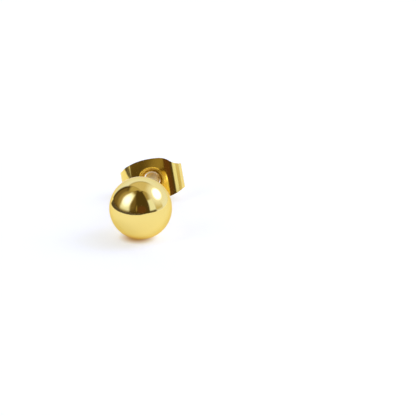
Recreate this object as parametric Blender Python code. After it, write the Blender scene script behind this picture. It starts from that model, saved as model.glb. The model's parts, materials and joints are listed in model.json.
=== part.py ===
"""Ball stud earring: a polished ball on a straight post, with a butterfly back pushed onto the post.

Each piece is modelled round the post's axis, which runs from the ball's centre along +Y. The stud is
then laid on the floor as it lies by itself: on the ball and on the lower edge of the butterfly back.
"""

import math

import bmesh
import bpy
import numpy as np
from mathutils import Vector

# Driving dimensions in metres, angles in degrees

BALL_DIAMETER = 0.0050
POST_DIAMETER = 0.0012
POST_LENGTH = 0.0095  # from the back of the ball to the tip
SOLDER_FILLET = 0.00025
TIP_CHAMFER = 0.00018

BACK_POSITION = 0.0057  # from the back of the ball to the plate's front face
SHEET_THICKNESS = 0.00025
PLATE_WIDTH = 0.00348
SCROLL_DIAMETER = 0.0018
SCROLL_TURN = 280.0
GRIP_CLEARANCE = 0.00005  # between each scroll and the post
HOLE_CLEARANCE = 0.00006  # between the hole and the post
DIMPLE_DIAMETER = 0.00192
DIMPLE_DEPTH = 0.00028

# How wide the strip is at each place, as shares of PLATE_WIDTH. The plate's place is a share of the way
# from its middle to the bend, and the scroll's place is degrees round the scroll from the bend.
PLATE_WIDTH_SHARES = (
    # place, width
    (0.00, 1.000),
    (0.04, 1.000),
    (0.66, 0.888),
    (1.00, 0.812),
)
SCROLL_WIDTH_SHARES = (
    # degrees, width
    (0.0, 0.812),
    (45.0, 0.680),
    (90.0, 0.585),
    (180.0, 0.500),
    (360.0, 0.440),
)

# Fineness of the faceted solids
TURNED_SIDES = 48
BALL_RINGS = 24
FILLET_STEPS = 4
PLATE_STEPS = 8  # from the plate's middle to the bend
ACROSS_STEPS = 8  # across the strip
SCROLL_STEPS = 28  # round the scroll
MERGE_DISTANCE = 0.0000001

# The back can lie at any roll about the post that is a resting place. This one is the photograph's, and is
# looked for from 0 degrees up.
ROLL_LIMIT_DEGREES = 25.0
ROLL_TRIES = 500

# Sizes worked out from those above

BALL_RADIUS = BALL_DIAMETER / 2
POST_RADIUS = POST_DIAMETER / 2
POST_TIP = BALL_RADIUS + POST_LENGTH
PLATE_Y = BALL_RADIUS + BACK_POSITION
SCROLL_RADIUS = SCROLL_DIAMETER / 2
BEND_X = POST_RADIUS + GRIP_CLEARANCE + SCROLL_RADIUS
HOLE_RADIUS = POST_RADIUS + HOLE_CLEARANCE
DIMPLE_RADIUS = DIMPLE_DIAMETER / 2


def clear_scene():
    for thing in list(bpy.data.objects):
        bpy.data.objects.remove(thing, do_unlink=True)


def polished_gold(name, colour, roughness):
    material = bpy.data.materials.new(name)
    material.use_nodes = True
    shader = material.node_tree.nodes["Principled BSDF"]
    shader.inputs["Base Color"].default_value = (*colour, 1.0)
    shader.inputs["Metallic"].default_value = 1.0
    shader.inputs["Roughness"].default_value = roughness
    return material


def piece_from(name, shape, material, sharp_degrees):
    """A named object from a bmesh, shaded smooth up to the given angle."""
    mesh = bpy.data.meshes.new(name)
    shape.to_mesh(mesh)
    shape.free()
    mesh.materials.append(material)
    mesh.shade_smooth()
    mesh.set_sharp_from_angle(angle=math.radians(sharp_degrees))
    piece = bpy.data.objects.new(name, mesh)
    bpy.context.scene.collection.objects.link(piece)
    return piece


def fillet_on_ball():
    """Where the solder fillet's arc is centred, as distance from the axis and distance along it."""
    radius_out = POST_RADIUS + SOLDER_FILLET
    reach = BALL_RADIUS + SOLDER_FILLET
    return radius_out, math.sqrt(reach**2 - radius_out**2)


def turned_profile():
    """Points (distance from the axis, distance along it) from the ball's front to the post's tip."""
    centre_out, centre_along = fillet_on_ball()
    meets_at = math.atan2(centre_out, centre_along)
    points = []
    for ring in range(BALL_RINGS + 1):
        angle = math.pi - (math.pi - meets_at) * ring / BALL_RINGS
        points.append((BALL_RADIUS * math.sin(angle), BALL_RADIUS * math.cos(angle)))
    for step in range(1, FILLET_STEPS + 1):
        # The fillet leaves the ball towards the post and ends along it.
        to_ball = Vector((-math.sin(meets_at), -math.cos(meets_at)))
        to_post = Vector((-1.0, 0.0))
        spoke = to_ball.slerp(to_post, step / FILLET_STEPS)
        points.append((centre_out + SOLDER_FILLET * spoke.x, centre_along + SOLDER_FILLET * spoke.y))
    points.append((POST_RADIUS, POST_TIP - TIP_CHAMFER))
    points.append((POST_RADIUS - TIP_CHAMFER, POST_TIP))
    points.append((0.0, POST_TIP))
    return points


def make_ball_with_post(material):
    """The ball and the post soldered to it, turned as one solid round the Y axis."""
    shape = bmesh.new()
    profile = [shape.verts.new((out, along, 0.0)) for out, along in turned_profile()]
    edges = [shape.edges.new(pair) for pair in zip(profile, profile[1:])]
    bmesh.ops.spin(
        shape,
        geom=profile + edges,
        cent=(0.0, 0.0, 0.0),
        axis=(0.0, 1.0, 0.0),
        angle=2.0 * math.pi,
        steps=TURNED_SIDES,
        use_merge=True,
    )
    bmesh.ops.remove_doubles(shape, verts=shape.verts, dist=MERGE_DISTANCE)
    bmesh.ops.recalc_face_normals(shape, faces=shape.faces)
    return piece_from("ball_with_post", shape, material, 35.0)


def width_at(place, sections):
    """Half the strip's width at a place in one of the two tables."""
    places = [row[0] for row in sections]
    widths = [row[1] for row in sections]
    return float(np.interp(place, places, widths)) * PLATE_WIDTH / 2


def plate_outline():
    """The flat plate's edge, anticlockwise as seen from the ball, starting at the right bend's foot."""
    bend_half = width_at(1.0, PLATE_WIDTH_SHARES)
    right = [(BEND_X, bend_half * (2 * step / ACROSS_STEPS - 1)) for step in range(ACROSS_STEPS)]
    top = []
    for step in range(2 * PLATE_STEPS):
        share = 1.0 - step / PLATE_STEPS
        top.append((BEND_X * share, width_at(abs(share), PLATE_WIDTH_SHARES)))
    half = right + top
    return half + [(-x, -z) for x, z in half]


def dimple_rings():
    """Rings (radius, depth) from the hole's edge out to the dimple's rim."""
    share_of_way = (0.0, 0.3, 0.65, 0.88, 1.0)
    share_of_depth = (1.0, 0.82, 0.32, 0.06, 0.0)
    width = DIMPLE_RADIUS - HOLE_RADIUS
    shares = zip(share_of_way, share_of_depth)
    return [(HOLE_RADIUS + width * way, DIMPLE_DEPTH * deep) for way, deep in shares]


def ring_faces(shape, inner, outer):
    for index in range(len(inner)):
        after = (index + 1) % len(inner)
        shape.faces.new((inner[index], outer[index], outer[after], inner[after]))


def add_plate(shape):
    """The plate with its dimpled hole. Returns the vertices of its outer edge."""
    outline = plate_outline()
    directions = [Vector(point).normalized() for point in outline]
    previous = None
    for radius, depth in dimple_rings():
        ring = [shape.verts.new((radius * way.x, depth, radius * way.y)) for way in directions]
        if previous:
            ring_faces(shape, previous, ring)
        previous = ring
    halfway = []
    for way, point in zip(directions, outline):
        middle = (way * DIMPLE_RADIUS + Vector(point)) / 2
        halfway.append(shape.verts.new((middle.x, 0.0, middle.y)))
    ring_faces(shape, previous, halfway)
    edge = [shape.verts.new((x, 0.0, z)) for x, z in outline]
    ring_faces(shape, halfway, edge)
    return edge


def add_scroll(shape, start, side):
    """One arm, rolled back from the plate until its free end grips the post."""
    previous = start
    for step in range(1, SCROLL_STEPS + 1):
        degrees = SCROLL_TURN * step / SCROLL_STEPS
        angle = math.radians(degrees)
        x = BEND_X + SCROLL_RADIUS * math.sin(angle)
        y = SCROLL_RADIUS * (1.0 - math.cos(angle))
        half = width_at(degrees, SCROLL_WIDTH_SHARES)
        row = []
        for across in range(ACROSS_STEPS + 1):
            z = half * (2 * across / ACROSS_STEPS - 1)
            row.append(shape.verts.new((side * x, y, side * z)))
        for across in range(ACROSS_STEPS):
            shape.faces.new((previous[across], row[across], row[across + 1], previous[across + 1]))
        previous = row


def make_butterfly_back(material):
    """The strip's front surface, thickened backwards into the sheet by a Solidify modifier."""
    shape = bmesh.new()
    edge = add_plate(shape)
    half_count = len(edge) // 2
    add_scroll(shape, edge[: ACROSS_STEPS + 1], 1.0)
    add_scroll(shape, edge[half_count : half_count + ACROSS_STEPS + 1], -1.0)
    shape.normal_update()
    piece = piece_from("butterfly_back", shape, material, 50.0)
    thicken = piece.modifiers.new("sheet", "SOLIDIFY")
    thicken.thickness = SHEET_THICKNESS
    thicken.offset = -1.0
    thicken.use_even_offset = True
    return piece


def solid_points(piece):
    """The corners of the piece's finished mesh, in its own coordinates."""
    evaluated = piece.evaluated_get(bpy.context.evaluated_depsgraph_get())
    mesh = evaluated.to_mesh()
    points = np.array([vertex.co[:] for vertex in mesh.vertices])
    evaluated.to_mesh_clear()
    return points


def tilt_to_floor(points, roll):
    """How far the post has to dip for the first of these points to meet the floor under the ball."""
    along = points[:, 1] + PLATE_Y
    height = points[:, 0] * math.sin(roll) + points[:, 2] * math.cos(roll)
    to_touch = np.arcsin(BALL_RADIUS / np.hypot(along, height)) - np.arctan2(-height, along)
    return float(to_touch.min())


def resting_place(back):
    """The roll and the dip at which the stud lies lowest, and so stays put."""
    points = solid_points(back)
    rolls = np.radians(np.linspace(0.0, ROLL_LIMIT_DEGREES, ROLL_TRIES, endpoint=False))
    dips = [tilt_to_floor(points, roll) for roll in rolls]
    best = int(np.argmax(dips))
    return float(rolls[best]), dips[best]


def lay_down(stud, back):
    """Hangs both pieces on one empty at the ball's centre and sets the stud on the floor at the origin."""
    roll, dip = resting_place(back)
    axis = bpy.data.objects.new("post_axis", None)
    bpy.context.scene.collection.objects.link(axis)
    stud.parent = axis
    back.parent = axis
    back.location = (0.0, PLATE_Y, 0.0)
    back.rotation_euler = (0.0, -roll, 0.0)
    axis.rotation_euler = (-dip, 0.0, 0.0)
    bpy.context.view_layer.update()
    corners = []
    for piece in (stud, back):
        turn = np.array(piece.matrix_world)
        corners.append(solid_points(piece) @ turn[:3, :3].T + turn[:3, 3])
    corners = np.vstack(corners)
    low = corners.min(axis=0)
    high = corners.max(axis=0)
    middle = (low + high) / 2
    axis.location = (-middle[0], -middle[1], -low[2])


def main():
    clear_scene()
    stud = make_ball_with_post(polished_gold("polished gold", (0.90, 0.66, 0.25), 0.08))
    back = make_butterfly_back(polished_gold("pressed gold sheet", (0.88, 0.63, 0.22), 0.12))
    lay_down(stud, back)


main()
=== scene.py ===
"""Looks of a ball stud earring: mirror-polished gold ball, satin post and bright pressed butterfly back."""

import json
import math
from collections import namedtuple

import bmesh
import bpy
import numpy as np
from mathutils import Matrix, Vector


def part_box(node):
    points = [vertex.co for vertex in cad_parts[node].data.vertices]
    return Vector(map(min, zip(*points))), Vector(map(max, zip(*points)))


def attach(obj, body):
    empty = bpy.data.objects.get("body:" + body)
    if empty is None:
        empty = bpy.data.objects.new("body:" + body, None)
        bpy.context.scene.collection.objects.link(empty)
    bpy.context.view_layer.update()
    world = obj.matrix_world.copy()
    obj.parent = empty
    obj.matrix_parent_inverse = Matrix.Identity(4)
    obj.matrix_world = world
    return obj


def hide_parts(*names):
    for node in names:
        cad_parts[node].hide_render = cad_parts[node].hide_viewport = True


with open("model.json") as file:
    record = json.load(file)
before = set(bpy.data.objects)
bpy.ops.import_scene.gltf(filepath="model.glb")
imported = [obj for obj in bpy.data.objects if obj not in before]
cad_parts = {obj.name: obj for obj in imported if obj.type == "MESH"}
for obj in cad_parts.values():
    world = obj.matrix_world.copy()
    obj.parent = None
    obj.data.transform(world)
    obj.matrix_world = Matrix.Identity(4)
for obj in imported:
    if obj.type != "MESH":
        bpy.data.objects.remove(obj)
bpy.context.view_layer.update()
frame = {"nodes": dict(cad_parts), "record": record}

# Sizes in metres, angles in degrees

POST_RADIUS = 0.0006
SOLDER_FILLET = 0.00025
TIP_CHAMFER = 0.00018
EDGE_SOFTENING = 0.00003  # on the post's tip
SHEET_THICKNESS = 0.00025
SHEET_EDGE_RADIUS = 0.00007  # where the stamped sheet's edges are tumbled smooth
SHEET_EDGE_SEGMENTS = 3
HOLE_RADIUS = 0.00066
DIMPLE_RADIUS = 0.00096
DIMPLE_DEPTH = 0.00028
SCROLL_TURN = 280.0
PLATE_CROWN = 0.00008  # how far the pressed plate's long sides stand back from its middle line
STRIP_BOW = 0.00008  # how far the strip's ends stand back from its middle
PLATE_LEAN = 10.0  # how far the plate leans back on the post, in its play
LEAN_CENTRE = 0.0004  # how far behind the plate's face, where the hole holds it

# The two arms are bent a little differently. The bend's reach is how far before the arm's outer side it
# starts, in scroll radii. The fold is the slope it starts with. At a squareness of 2 the bend is an
# ellipse's quarter, and above 2 it is fuller.
Arm = namedtuple("Arm", "side bend_reach longer_by fold squareness")
RIGHT_ARM = Arm(side=1.0, bend_reach=1.45, longer_by=0.0, fold=0.0, squareness=2.0)
LEFT_ARM = Arm(side=-1.0, bend_reach=1.15, longer_by=0.00018, fold=0.36, squareness=2.6)

# How far the strip reaches up and down from its middle line at each place, as shares of half its widest.
# The place is 0 at the middle, 1 at the arm's outer side and 2 at its rolled-in end.
STRIP_SECTIONS = (
    # place, right up, right down, left up, left down
    (0.00, 0.985, 0.970, 0.985, 0.970),
    (0.22, 0.978, 0.950, 0.965, 0.925),
    (0.42, 0.942, 0.910, 0.910, 0.868),
    (0.58, 0.855, 0.860, 0.842, 0.806),
    (0.77, 0.645, 0.775, 0.725, 0.715),
    (0.90, 0.560, 0.680, 0.590, 0.620),
    (1.00, 0.520, 0.600, 0.500, 0.550),
    (1.30, 0.470, 0.500, 0.460, 0.490),
    (2.00, 0.440, 0.440, 0.440, 0.440),
)

# Fineness of the visible meshes
TURNED_SIDES = 160
BALL_RINGS = 90
ARC_STEPS = 8
PLATE_STEPS = 24  # from the plate's middle to the bend
ACROSS_STEPS = 24  # across the strip
DIMPLE_RINGS = 10
FLAT_RINGS = 6  # from the dimple's rim to the plate's edge
SCROLL_STEPS = 140
MERGE_DISTANCE = 0.0000001

# Edges that turn by more than this are shaded sharp
TURNED_SHARP = 50.0
SHEET_SHARP = 60.0
FLAT_SHARP = 30.0

WHITE = (1.0, 1.0, 1.0)

# The gold is a mix of a pale and a deep colour. The waves and scratches are bump heights in metres.
GOLD_FINISHES = (
    # name, pale, deep, roughness from and to, waves, scratches, tint at the edge
    ("polished gold", (0.92, 0.72, 0.225), (0.9, 0.69, 0.2), (0.05, 0.09), 1.5e-6, 1e-7, (0.9, 0.76, 0.46)),
    ("pressed gold sheet", (0.95, 0.72, 0.19), (0.9, 0.65, 0.14), (0.07, 0.14), 1.0e-5, 4e-7, WHITE),
    ("drawn gold wire", (0.95, 0.77, 0.33), (0.91, 0.72, 0.28), (0.44, 0.54), 2.0e-6, 8e-7, WHITE),
)

# Scales of the noise that varies it, where 1000 gives forms of about a millimetre
COLOUR_DRIFT_SCALE = 420.0
POLISH_SCALE = 1500.0
WAVE_SCALE = 700.0
SCRATCH_SCALE = 2400.0
SCRATCH_STRETCH = (1.0, 14.0, 6.0)
SCRATCH_TURN = (0.5, 0.3, 0.9)  # in radians

# The photograph's view
IMAGE_SIZE = 416
BALL_PIXEL = Vector((140.6, 208.0))
BALL_PIXEL_RADIUS = 31.6
VIEW_AZIMUTH = 5.5  # the camera stands this far to the right of the post's line
VIEW_ELEVATION = 21.0
CAMERA_DISTANCE = 0.35
CAMERA_CLIP = (0.01, 10.0)
SENSOR_WIDTH = 36.0  # in millimetres

FLOOR_SIZE = 4.0
FLOOR_COLOUR = (0.72, 0.74, 0.61)  # it looks white in the cool light of the windows
FLOOR_GLOW = 0.48  # the board is a light table, lit a little from below
# Painted shade: a warm dark patch in the board's colour and glow under the ball, standing for its contact
# shadow and the gold's bounced light.
PAINTED_SHADE_COLOUR = (0.48, 0.30, 0.08)  # of the board under the ball, where the gold warms it
PAINTED_SHADE_SHIFT = 0.0003  # the shade under the ball lies this far to its left
PAINTED_SHADE_SPAN = (0.0003, 0.0018)  # from its middle, where it is deepest, to its end

# A painted dark reflection round the ball's front and left: a card that only the metal mirrors
CARD_REACH = 1.5
CARD_EDGE = (
    # azimuth, radius
    (-132.0, 0.018),
    (-110.0, 0.020),
    (-60.0, 0.024),
    (-30.0, 0.025),
    (0.0, 0.036),
    (15.0, 0.070),
    (30.0, 0.300),
)
CARD_STEPS = 48
CARD_HEIGHT = 0.0001
PAINTED_DARK_REFLECTION_COLOUR = (0.08, 0.055, 0.025)
CARD_ROUGHNESS = 0.9

# What the studio looks like from the ball. Azimuth 0 is towards the camera and grows to its right.
ROOM_COLOUR = (0.080, 0.055, 0.022)
STUDIO_PATCHES = (
    # azimuths, elevations, soft edge, is round, colour
    ((62.0, 221.0), (-90.0, 45.0), 8.0, False, (0.92, 1.05, 1.75)),  # white sweep behind
    ((62.0, 221.0), (45.0, 120.0), 14.0, False, (0.69, 0.63, 0.54)),  # warm ceiling
    ((-139.0, -84.0), (56.0, 120.0), 12.0, False, (0.52, 0.45, 0.27)),  # its left side
    ((-112.0, 62.0), (84.0, 120.0), 6.0, False, (0.49, 0.43, 0.28)),  # its middle, overhead
    ((34.0, 70.0), (42.0, 80.0), 10.0, False, (0.42, 0.35, 0.21)),  # dimmer at the right
    ((-128.0, -88.0), (3.0, 50.0), 9.0, False, (0.19, 0.14, 0.07)),  # wall at the left
    ((-108.0, -30.0), (0.0, 74.0), 20.0, True, (0.42, 0.35, 0.21)),  # its lit part
    ((-83.0, -42.0), (5.0, 64.0), 12.0, False, (0.94, 1.06, 1.50)),  # left softbox
    ((-84.0, -46.0), (20.0, 56.0), 24.0, True, (1.9, 2.1, 4.2)),  # its hot middle
    ((-42.0, -20.0), (10.0, 50.0), 14.0, True, (0.18, 0.13, 0.06)),  # shelves in the dark
    ((-12.0, 22.0), (2.0, 28.0), 12.0, True, (0.12, 0.055, 0.025)),  # brown things by the camera
    ((-17.0, -12.5), (8.0, 28.0), 3.0, True, (0.34, 0.27, 0.12)),  # the camera's stand
    ((36.0, 61.0), (7.0, 45.0), 7.0, False, (0.92, 1.04, 1.45)),  # small softbox at the right
    ((61.0, 92.0), (3.0, 32.0), 8.0, False, (0.64, 0.58, 0.44)),  # wall beside it
    ((54.0, 150.0), (12.0, 70.0), 36.0, True, (0.95, 1.03, 1.5)),  # glow round the window
    ((80.0, 126.0), (26.0, 54.0), 18.0, True, (3.0, 3.2, 6.5)),  # window
)


class Places:
    """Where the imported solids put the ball, the post and the back, and how big they are."""

    def __init__(self):
        record = frame["record"]
        mounts = {mount["name"]: Vector(mount["pos_m"]) for mount in record["mounts"]}
        low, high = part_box("ball_with_post")
        self.axis = Vector(record["behaviour"]["joints"][0]["axis"]).normalized()
        self.ball_radius = max(high.x - low.x, high.z - low.z) / 2
        self.ball_centre = Vector(((low.x + high.x) / 2, low.y + self.ball_radius, (low.z + high.z) / 2))
        self.tip_distance = (mounts["post_end"] - self.ball_centre).dot(self.axis)
        to_face = mounts["lobe_face"] - self.ball_centre
        self.plate_distance = to_face.dot(self.axis)
        self.across = (to_face - self.axis * self.plate_distance).normalized()
        self.along = self.axis.cross(self.across)
        self.measure_back()

    def measure_back(self):
        """The back's sizes, from its solid's corners in its own axes."""
        turn = self.back_matrix().inverted()
        corners = [turn @ vertex.co for vertex in frame["nodes"]["butterfly_back"].data.vertices]
        self.back_width = 2 * max(corner.z for corner in corners)
        self.scroll_radius = max(corner.y for corner in corners) / 2
        self.bend_distance = max(corner.x for corner in corners) - self.scroll_radius

    def stud_matrix(self):
        """From the stud's own axes, with the post along +Y from the ball's centre, to the frame's."""
        side = Vector((1.0, 0.0, 0.0))
        up = side.cross(self.axis)
        turn = Matrix((side, self.axis, up)).transposed().to_4x4()
        return Matrix.Translation(self.ball_centre) @ turn

    def back_matrix(self):
        """From the back's own axes (strip's length, post, strip's width) to the frame's."""
        turn = Matrix((self.along, self.axis, self.across)).transposed().to_4x4()
        return Matrix.Translation(self.ball_centre + self.axis * self.plate_distance) @ turn


places = Places()


def link(thing):
    bpy.context.scene.collection.objects.link(thing)
    return thing


def piece_from(name, shape, matrix, sharp_degrees):
    """A named object whose place is in its mesh, shaded smooth up to the given angle."""
    shape.transform(matrix)
    mesh = bpy.data.meshes.new(name)
    shape.to_mesh(mesh)
    shape.free()
    mesh.shade_smooth()
    mesh.set_sharp_from_angle(angle=math.radians(sharp_degrees))
    return link(bpy.data.objects.new(name, mesh))


# Shapes


def arc_between(centre, radius, start, end, steps):
    """Points on a round corner from one spoke to another, leaving out the first."""
    spokes = [start.slerp(end, step / steps) for step in range(1, steps + 1)]
    return [(centre[0] + radius * spoke.x, centre[1] + radius * spoke.y) for spoke in spokes]


def turned_profile():
    """Points (distance from the axis, distance along it) from the ball's front to the post's tip."""
    radius = places.ball_radius
    centre_out = POST_RADIUS + SOLDER_FILLET
    centre_along = math.sqrt((radius + SOLDER_FILLET) ** 2 - centre_out**2)
    meets_at = math.atan2(centre_out, centre_along)
    points = []
    for ring in range(BALL_RINGS + 1):
        angle = math.pi - (math.pi - meets_at) * ring / BALL_RINGS
        points.append((radius * math.sin(angle), radius * math.cos(angle)))
    to_ball = Vector((-math.sin(meets_at), -math.cos(meets_at)))
    to_post = Vector((-1.0, 0.0))
    points += arc_between((centre_out, centre_along), SOLDER_FILLET, to_ball, to_post, ARC_STEPS)
    tip = places.tip_distance
    soft = EDGE_SOFTENING
    # Rings close to both ends keep the shading of the long straight post even.
    points.append((POST_RADIUS, centre_along + soft))
    points.append((POST_RADIUS, tip - TIP_CHAMFER - 2 * soft))
    points.append((POST_RADIUS, tip - TIP_CHAMFER - soft))
    points.append((POST_RADIUS - soft / 2, tip - TIP_CHAMFER + soft / 2))
    points.append((POST_RADIUS - TIP_CHAMFER + soft / 2, tip - soft / 2))
    points.append((POST_RADIUS - TIP_CHAMFER - soft, tip))
    points.append((0.0, tip))
    return points


def make_ball_and_post():
    """The ball and the post soldered to it, turned round the post's axis."""
    shape = bmesh.new()
    profile = [shape.verts.new((out, along, 0.0)) for out, along in turned_profile()]
    edges = [shape.edges.new(pair) for pair in zip(profile, profile[1:])]
    bmesh.ops.spin(
        shape,
        geom=profile + edges,
        cent=(0.0, 0.0, 0.0),
        axis=(0.0, 1.0, 0.0),
        angle=2.0 * math.pi,
        steps=TURNED_SIDES,
        use_merge=True,
    )
    bmesh.ops.remove_doubles(shape, verts=shape.verts, dist=MERGE_DISTANCE)
    bmesh.ops.recalc_face_normals(shape, faces=shape.faces)
    return piece_from("polished_ball_and_post", shape, places.stud_matrix(), TURNED_SHARP)


def reaches(place, side):
    """How far the strip reaches up and down at a place on one arm, on smooth curves through the table."""
    rows = np.array(STRIP_SECTIONS)
    slopes = np.gradient(rows[:, 1:], rows[:, 0], axis=0)
    index = int(np.clip(np.searchsorted(rows[:, 0], place) - 1, 0, len(rows) - 2))
    span = rows[index + 1, 0] - rows[index, 0]
    t = (place - rows[index, 0]) / span
    shares = (
        (2 * t**3 - 3 * t**2 + 1) * rows[index, 1:]
        + (t**3 - 2 * t**2 + t) * span * slopes[index]
        + (3 * t**2 - 2 * t**3) * rows[index + 1, 1:]
        + (t**3 - t**2) * span * slopes[index + 1]
    )
    right_up, right_down, left_up, left_down = shares * places.back_width / 2
    return (right_up, right_down) if side > 0 else (left_up, left_down)


def outer_distance(arm):
    """How far from the middle an arm reaches."""
    return places.bend_distance + places.scroll_radius + arm.longer_by


def plate_outline():
    """The flat plate's edge, from the right bend's lower end up and round, as seen from the ball."""
    outline = []
    for arm, other, upright in ((RIGHT_ARM, LEFT_ARM, 1.0), (LEFT_ARM, RIGHT_ARM, -1.0)):
        bend, _ = scroll_point(arm, 0.0)
        up, down = reaches(bend / outer_distance(arm), arm.side)
        for step in range(ACROSS_STEPS):
            height = (up + down) * step / ACROSS_STEPS - (down if upright > 0 else up)
            outline.append((arm.side * bend, upright * height))
        for step in range(2 * PLATE_STEPS):
            share = 1.0 - step / PLATE_STEPS
            here = arm if share > 0 else other
            bend, _ = scroll_point(here, 0.0)
            x = abs(share) * bend
            up, down = reaches(x / outer_distance(here), here.side)
            outline.append((here.side * x, up if upright > 0 else -down))
    return outline


def dimple_rings():
    """Rings (radius, depth) from the hole's edge out to the dimple's rim, on a soft S-shaped wall."""
    width = DIMPLE_RADIUS - HOLE_RADIUS
    shares = [ring / DIMPLE_RINGS for ring in range(DIMPLE_RINGS + 1)]
    return [(HOLE_RADIUS + width * way, DIMPLE_DEPTH * (1 + math.cos(math.pi * way)) / 2) for way in shares]


def ring_faces(shape, inner, outer):
    """A ring of faces between two closed rings of vertices."""
    for index in range(len(inner)):
        after = (index + 1) % len(inner)
        shape.faces.new((inner[index], outer[index], outer[after], inner[after]))


def add_plate(shape):
    """The plate with its dimpled hole. Returns the vertices of its outer edge."""
    outline = plate_outline()
    directions = [Vector(point).normalized() for point in outline]
    previous = None
    for radius, depth in dimple_rings():
        ring = [shape.verts.new((radius * way.x, depth, radius * way.y)) for way in directions]
        if previous:
            ring_faces(shape, previous, ring)
        previous = ring
    for step in range(1, FLAT_RINGS + 1):
        share = step / FLAT_RINGS
        ring = []
        for way, point in zip(directions, outline):
            x, z = (way * DIMPLE_RADIUS).lerp(Vector(point), share)
            ring.append(shape.verts.new((x, 0.0, z)))
        ring_faces(shape, previous, ring)
        previous = ring
    return previous


def scroll_point(arm, angle):
    """A point on an arm's outer surface: it leaves the plate in a slow bend and then rolls up round."""
    radius = places.scroll_radius
    outer = outer_distance(arm)
    reach = radius * arm.bend_reach
    if angle > math.pi / 2:
        # A longer arm rolls up wider, so its inner side stays clear of the post. The fold fades out.
        x = outer + (radius + arm.longer_by / 2) * (math.sin(angle) - 1.0)
        y = radius * (1.0 - math.cos(angle))
        fade = 1.0 - math.sin(angle - math.pi / 2)
        return x, y + arm.fold * max(0.0, x - (outer - reach)) * fade
    share = math.sin(angle) ** (2.0 / arm.squareness)
    rest = max(0.0, math.cos(angle)) ** (2.0 / arm.squareness)
    return outer + reach * (share - 1.0), radius * (1.0 - rest) + arm.fold * reach * share


def add_scroll(shape, start, arm):
    """One arm, rolled back from the plate until its free end grips the post."""
    previous = start
    for step in range(1, SCROLL_STEPS + 1):
        degrees = SCROLL_TURN * step / SCROLL_STEPS
        angle = math.radians(degrees)
        x, y = scroll_point(arm, angle)
        if degrees <= 90.0:
            place = x / outer_distance(arm)
        else:
            place = 1.0 + ((degrees - 90.0) / (SCROLL_TURN - 90.0)) ** 2
        up, down = reaches(place, arm.side)
        first, last = (-down, up) if arm.side > 0 else (up, -down)
        row = []
        for across in range(ACROSS_STEPS + 1):
            z = first + (last - first) * across / ACROSS_STEPS
            row.append(shape.verts.new((arm.side * x, y, z)))
        for across in range(ACROSS_STEPS):
            shape.faces.new((previous[across], row[across], row[across + 1], previous[across + 1]))
        previous = row


def press_and_lean(shape):
    """Crowns the strip a little both ways, and leans it back within its play on the post."""
    half_length = places.bend_distance + places.scroll_radius
    half_width = places.back_width / 2
    for vertex in shape.verts:
        vertex.co.y += STRIP_BOW * (vertex.co.x / half_length) ** 2
        vertex.co.y += PLATE_CROWN * (vertex.co.z / half_width) ** 2
    centre = Matrix.Translation((0.0, LEAN_CENTRE, 0.0))
    shape.transform(centre @ Matrix.Rotation(math.radians(-PLATE_LEAN), 4, "X") @ centre.inverted())


def make_rolled_back():
    """The butterfly back: one strip of sheet, thickened backwards, with its edges softened."""
    shape = bmesh.new()
    edge = add_plate(shape)
    half_count = len(edge) // 2
    add_scroll(shape, edge[: ACROSS_STEPS + 1], RIGHT_ARM)
    add_scroll(shape, edge[half_count : half_count + ACROSS_STEPS + 1], LEFT_ARM)
    press_and_lean(shape)
    shape.normal_update()
    piece = piece_from("rolled_butterfly_back", shape, places.back_matrix(), SHEET_SHARP)
    thicken = piece.modifiers.new("sheet", "SOLIDIFY")
    thicken.thickness = SHEET_THICKNESS
    thicken.offset = -1.0
    thicken.use_even_offset = True
    soften = piece.modifiers.new("soft_edges", "BEVEL")
    soften.width = SHEET_EDGE_RADIUS
    soften.segments = SHEET_EDGE_SEGMENTS
    soften.limit_method = "ANGLE"
    soften.angle_limit = math.radians(SHEET_SHARP)
    soften.use_clamp_overlap = True
    soften.harden_normals = True
    return piece


# Materials


class Nodes:
    """A short way to add and join the nodes of one node tree."""

    def __init__(self, tree):
        self.tree = tree

    def add(self, kind, **settings):
        node = self.tree.nodes.new(kind)
        for name, value in settings.items():
            setattr(node, name, value)
        return node

    def join(self, source, target):
        self.tree.links.new(source, target)

    def math(self, operation, first, second=None):
        node = self.add("ShaderNodeMath", operation=operation)
        for socket, value in zip(node.inputs, (first, second)):
            if isinstance(value, bpy.types.NodeSocket):
                self.join(value, socket)
            elif value is not None:
                socket.default_value = value
        return node.outputs[0]

    def noise(self, vector, scale, detail, roughness=0.5):
        node = self.add("ShaderNodeTexNoise")
        node.inputs["Scale"].default_value = scale
        node.inputs["Detail"].default_value = detail
        node.inputs["Roughness"].default_value = roughness
        self.join(vector, node.inputs["Vector"])
        return node.outputs["Fac"]

    def spread(self, share, low, high):
        """Low where the share is 0 and high where it is 1."""
        node = self.add("ShaderNodeMapRange")
        self.join(share, node.inputs["Value"])
        node.inputs["To Min"].default_value = low
        node.inputs["To Max"].default_value = high
        return node.outputs["Result"]

    def fade(self, distance, inner, outer):
        """1 up to the inner distance and 0 from the outer one on, with a smooth step between."""
        node = self.add("ShaderNodeMapRange", interpolation_type="SMOOTHSTEP")
        self.join(distance, node.inputs["Value"])
        node.inputs["From Min"].default_value = inner
        node.inputs["From Max"].default_value = outer
        node.inputs["To Min"].default_value = 1.0
        node.inputs["To Max"].default_value = 0.0
        return node.outputs["Result"]

    def blend_colours(self, share, first, second):
        """The first colour where the share is 0 and the second where it is 1."""
        node = self.add("ShaderNodeMix", data_type="RGBA")
        sockets = [socket for socket in node.inputs if socket.type == "RGBA"]
        self.join(share, node.inputs[0])
        for socket, value in zip(sockets, (first, second)):
            if isinstance(value, bpy.types.NodeSocket):
                self.join(value, socket)
            else:
                socket.default_value = (*value, 1.0)
        return next(socket for socket in node.outputs if socket.type == "RGBA")


def new_material(name):
    """A new material, with its nodes and its shader."""
    material = bpy.data.materials.new(name)
    material.use_nodes = True
    tree = material.node_tree
    return material, Nodes(tree), tree.nodes["Principled BSDF"]


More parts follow.
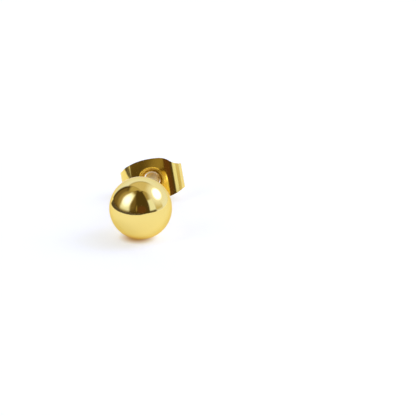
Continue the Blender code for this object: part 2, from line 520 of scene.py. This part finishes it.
def gold(name, pale, deep, haze, waves, scratches, edge_tint):
    """Gold-coloured metal: a hint of colour drift, uneven polish, soft waves and fine scratches."""
    material, nodes, shader = new_material(name)
    shader.inputs["Metallic"].default_value = 1.0
    shader.inputs["Specular Tint"].default_value = (*edge_tint, 1.0)
    place = nodes.add("ShaderNodeTexCoord").outputs["Object"]
    drift = nodes.noise(place, COLOUR_DRIFT_SCALE, detail=2.0)
    nodes.join(nodes.blend_colours(drift, pale, deep), shader.inputs["Base Color"])
    polish = nodes.noise(place, POLISH_SCALE, detail=4.0, roughness=0.6)
    nodes.join(nodes.spread(polish, *haze), shader.inputs["Roughness"])
    stretched = nodes.add("ShaderNodeMapping")
    stretched.inputs["Scale"].default_value = SCRATCH_STRETCH
    stretched.inputs["Rotation"].default_value = SCRATCH_TURN
    nodes.join(place, stretched.inputs["Vector"])
    wave_bump = nodes.add("ShaderNodeBump")
    wave_bump.inputs["Distance"].default_value = waves
    nodes.join(nodes.noise(place, WAVE_SCALE, detail=1.0), wave_bump.inputs["Height"])
    scratch_bump = nodes.add("ShaderNodeBump")
    scratch_bump.inputs["Distance"].default_value = scratches
    lines = nodes.noise(stretched.outputs["Vector"], SCRATCH_SCALE, detail=3.0, roughness=0.7)
    nodes.join(lines, scratch_bump.inputs["Height"])
    nodes.join(wave_bump.outputs["Normal"], scratch_bump.inputs["Normal"])
    nodes.join(scratch_bump.outputs["Normal"], shader.inputs["Normal"])
    return material


# Studio


def view_frame():
    """Level directions towards the camera and to its right, as seen from the ball."""
    turn = math.radians(VIEW_AZIMUTH)
    towards = Vector((math.sin(turn), -math.cos(turn), 0.0))
    right = Vector((math.cos(turn), math.sin(turn), 0.0))
    return towards, right


def direction(azimuth, elevation):
    """From the ball's centre: azimuth 0 is towards the camera and grows to its right."""
    towards, right = view_frame()
    around = math.radians(azimuth)
    rise = math.radians(elevation)
    level = towards * math.cos(around) + right * math.sin(around)
    return level * math.cos(rise) + Vector((0.0, 0.0, math.sin(rise)))


def make_camera():
    """A camera that shows the ball where the photograph does, and as large."""
    data = bpy.data.cameras.new("camera")
    camera = link(bpy.data.objects.new("camera", data))
    metres_per_pixel = places.ball_radius / BALL_PIXEL_RADIUS
    frame_width = metres_per_pixel * IMAGE_SIZE
    data.sensor_width = SENSOR_WIDTH
    data.lens = SENSOR_WIDTH * CAMERA_DISTANCE / frame_width
    data.clip_start, data.clip_end = CAMERA_CLIP
    back = direction(0.0, VIEW_ELEVATION)
    _, right = view_frame()
    up = back.cross(right)
    off_centre = (BALL_PIXEL - Vector((IMAGE_SIZE / 2, IMAGE_SIZE / 2))) * metres_per_pixel
    aim = places.ball_centre - right * off_centre.x + up * off_centre.y
    turn = Matrix((right, up, back)).transposed().to_4x4()
    camera.matrix_world = Matrix.Translation(aim + back * CAMERA_DISTANCE) @ turn
    bpy.context.scene.camera = camera


def make_floor():
    """A white matt board, with a small painted shade under the ball for its contact shadow and the gold's
    warm bounced light.
    """
    half = FLOOR_SIZE / 2
    shape = bmesh.new()
    corners = [(-half, -half), (half, -half), (half, half), (-half, half)]
    shape.faces.new([shape.verts.new((x, y, 0.0)) for x, y in corners])
    floor = piece_from("floor", shape, Matrix.Identity(4), FLAT_SHARP)
    material, nodes, shader = new_material("white matt board")
    shader.inputs["Specular IOR Level"].default_value = 0.0
    shader.inputs["Emission Strength"].default_value = FLOOR_GLOW
    place = nodes.add("ShaderNodeTexCoord").outputs["Object"]
    away = nodes.add("ShaderNodeVectorMath", operation="DISTANCE")
    nodes.join(place, away.inputs[0])
    _, right = view_frame()
    foot = Vector((places.ball_centre.x, places.ball_centre.y, 0.0))
    away.inputs[1].default_value = foot - right * PAINTED_SHADE_SHIFT
    # Painted shade: near the ball's foot the board's colour and glow turn warm dark brown.
    shade = nodes.fade(away.outputs["Value"], *PAINTED_SHADE_SPAN)
    nodes.join(nodes.blend_colours(shade, FLOOR_COLOUR, PAINTED_SHADE_COLOUR), shader.inputs["Base Color"])
    nodes.join(nodes.blend_colours(shade, WHITE, PAINTED_SHADE_COLOUR), shader.inputs["Emission Color"])
    floor.data.materials.append(material)


def middle_and_half(span):
    """The middle and half the length of a span in degrees, in radians."""
    low, high = span
    return math.radians((low + high) / 2), math.radians((high - low) / 2)


def patch_share(nodes, azimuth, elevation, azimuths, elevations, soft, is_round):
    """1 in a patch of the studio and 0 outside it, with a soft edge."""
    middle_azimuth, half_azimuth = middle_and_half(azimuths)
    middle_elevation, half_elevation = middle_and_half(elevations)
    margin = math.radians(soft) / 2
    around = nodes.math("PINGPONG", nodes.math("SUBTRACT", azimuth, middle_azimuth), math.pi)
    rise = nodes.math("ABSOLUTE", nodes.math("SUBTRACT", elevation, middle_elevation))
    if is_round:
        stretched = nodes.math("MULTIPLY", rise, half_azimuth / half_elevation)
        squares = [nodes.math("POWER", part, 2.0) for part in (around, stretched)]
        distance = nodes.math("SQRT", nodes.math("ADD", *squares))
        return nodes.fade(distance, half_azimuth - margin, half_azimuth + margin)
    across = nodes.fade(around, half_azimuth - margin, half_azimuth + margin)
    upright = nodes.fade(rise, half_elevation - margin, half_elevation + margin)
    return nodes.math("MULTIPLY", across, upright)


def make_world():
    """The studio as the ball mirrors it: each patch is laid over those before it."""
    world = bpy.data.worlds.new("studio")
    world.use_nodes = True
    tree = world.node_tree
    tree.nodes.clear()
    nodes = Nodes(tree)
    way = nodes.add("ShaderNodeTexCoord").outputs["Generated"]
    parts = []
    for axis in view_frame():
        dot = nodes.add("ShaderNodeVectorMath", operation="DOT_PRODUCT")
        nodes.join(way, dot.inputs[0])
        dot.inputs[1].default_value = axis
        parts.append(dot.outputs["Value"])
    split = nodes.add("ShaderNodeSeparateXYZ")
    nodes.join(way, split.inputs[0])
    azimuth = nodes.math("ARCTAN2", parts[1], parts[0])
    elevation = nodes.math("ARCSINE", split.outputs["Z"])
    room = ROOM_COLOUR
    for *extent, colour in STUDIO_PATCHES:
        share = patch_share(nodes, azimuth, elevation, *extent)
        room = nodes.blend_colours(share, room, colour)
    backdrop = nodes.add("ShaderNodeBackground")
    backdrop.inputs["Color"].default_value = (*WHITE, 1.0)
    studio = nodes.add("ShaderNodeBackground")
    nodes.join(room, studio.inputs["Color"])
    seen = nodes.add("ShaderNodeLightPath").outputs["Is Camera Ray"]
    mix = nodes.add("ShaderNodeMixShader")
    nodes.join(seen, mix.inputs[0])
    nodes.join(studio.outputs[0], mix.inputs[1])
    nodes.join(backdrop.outputs[0], mix.inputs[2])
    output = nodes.add("ShaderNodeOutputWorld")
    nodes.join(mix.outputs[0], output.inputs["Surface"])
    bpy.context.scene.world = world


def make_painted_dark_reflection_card():
    """A painted dark reflection: a card round the front and left, which only the polished metal mirrors."""
    shape = bmesh.new()
    azimuths, radii = zip(*CARD_EDGE)
    foot = Vector((places.ball_centre.x, places.ball_centre.y, CARD_HEIGHT))
    rows = []
    for azimuth in np.linspace(azimuths[0], azimuths[-1], CARD_STEPS + 1):
        way = direction(azimuth, 0.0)
        inner = float(np.interp(azimuth, azimuths, radii))
        rows.append([shape.verts.new(foot + way * radius) for radius in (inner, CARD_REACH)])
    for before, after in zip(rows, rows[1:]):
        shape.faces.new((before[0], before[1], after[1], after[0]))
    card = piece_from("painted_dark_reflection_card", shape, Matrix.Identity(4), FLAT_SHARP)
    material, _, shader = new_material("painted dark reflection")
    shader.inputs["Base Color"].default_value = (*PAINTED_DARK_REFLECTION_COLOUR, 1.0)
    shader.inputs["Roughness"].default_value = CARD_ROUGHNESS
    card.data.materials.append(material)
    # Painted dark reflection: hidden from the camera, from diffuse light and from shadows, the card only
    # darkens what the metal mirrors.
    card.visible_camera = False
    card.visible_diffuse = False
    card.visible_shadow = False


def make_stud():
    """The stud's two pieces, with the post in a satin finish and the rest bright."""
    polished, pressed, drawn = [gold(*finish) for finish in GOLD_FINISHES]
    ball = make_ball_and_post()
    ball.data.materials.append(polished)
    ball.data.materials.append(drawn)
    for face in ball.data.polygons:
        # What stands out past the ball's surface is the post.
        from_centre = (face.center - places.ball_centre).length
        face.material_index = 1 if from_centre > places.ball_radius + EDGE_SOFTENING else 0
    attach(ball, "stud")
    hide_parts("ball_with_post")
    back = make_rolled_back()
    back.data.materials.append(pressed)
    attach(back, "back")
    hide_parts("butterfly_back")


make_stud()
make_floor()
make_painted_dark_reflection_card()
make_world()
make_camera()
bpy.context.scene.view_settings.view_transform = "Standard"
